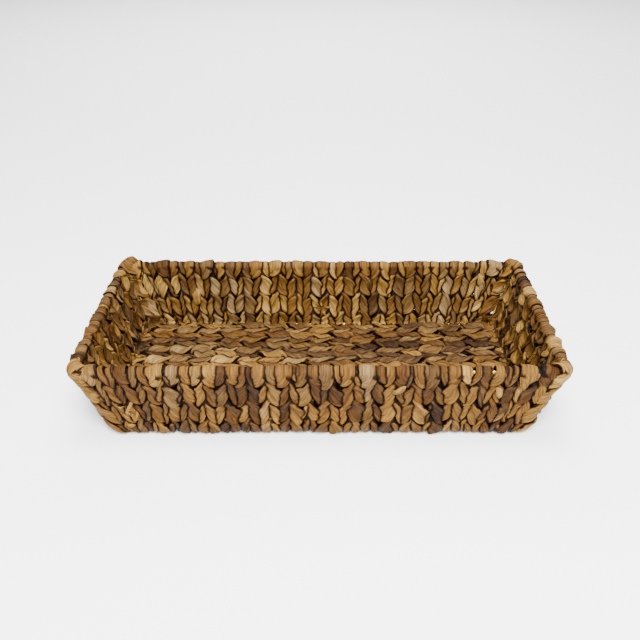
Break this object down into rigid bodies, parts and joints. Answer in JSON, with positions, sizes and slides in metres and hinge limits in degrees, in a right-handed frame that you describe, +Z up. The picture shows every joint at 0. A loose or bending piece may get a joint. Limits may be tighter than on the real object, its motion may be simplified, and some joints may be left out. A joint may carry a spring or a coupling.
{
  "type": "woven bread basket",
  "caption": "Low rectangular bread basket with flared walls and rounded corners, twined from thick water hyacinth over a golden wire frame.",
  "frame": {"origin": "centre of the flat underside, on the surface the basket stands on", "axes": "+Z up, +X along the length towards the right end seen from the front, -Y towards the front wall"},
  "size_m": [0.3996, 0.1998, 0.072],
  "materials": {
    "weave": "dried water hyacinth stalks, satin, golden tan to dark brown",
    "wire": "golden yellow lacquered steel wire, semi-gloss"
  },
  "bodies": {
    "root": {"rim_wire": "wire", "upper_wall_wire": "wire", "lower_wall_wire": "wire", "base_ring_wire": "wire", "base_cross_wire_01": "wire", "base_cross_wire_02": "wire", "base_cross_wire_03": "wire", "base_cross_wire_04": "wire", "base_cross_wire_05": "wire", "base_cross_wire_06": "wire", "base_cross_wire_07": "wire", "base_cross_wire_08": "wire", "base_cross_wire_09": "wire", "base_cross_wire_10": "wire", "base_cross_wire_11": "wire", "base_cross_wire_12": "wire", "base_cross_wire_13": "wire", "base_cross_wire_14": "wire", "base_cross_wire_15": "wire", "corner_upright_front_left": "wire", "corner_upright_front_right": "wire", "corner_upright_back_left": "wire", "corner_upright_back_right": "wire", "front_upright_left": "wire", "front_upright_right": "wire", "back_upright_left": "wire", "back_upright_right": "wire", "left_end_upright": "wire", "right_end_upright": "wire", "base_and_end_weave_1": "weave", "base_and_end_weave_2": "weave", "base_and_end_weave_3": "weave", "base_and_end_weave_4": "weave", "base_and_end_weave_5": "weave", "base_and_end_weave_6": "weave", "base_and_end_weave_7": "weave", "base_edge_weave_front": "weave", "base_edge_weave_back": "weave", "front_weave_1": "weave", "front_weave_2": "weave", "front_weave_3": "weave", "front_weave_4": "weave", "front_weave_5": "weave", "front_weave_6": "weave", "front_weave_7": "weave", "front_weave_8": "weave", "front_weave_9": "weave", "back_weave_1": "weave", "back_weave_2": "weave", "back_weave_3": "weave", "back_weave_4": "weave", "back_weave_5": "weave", "back_weave_6": "weave", "back_weave_7": "weave", "back_weave_8": "weave", "back_weave_9": "weave", "corner_weave_front_left": "weave", "corner_weave_front_right": "weave", "corner_weave_back_left": "weave", "corner_weave_back_right": "weave"}
  },
  "joints": []
}
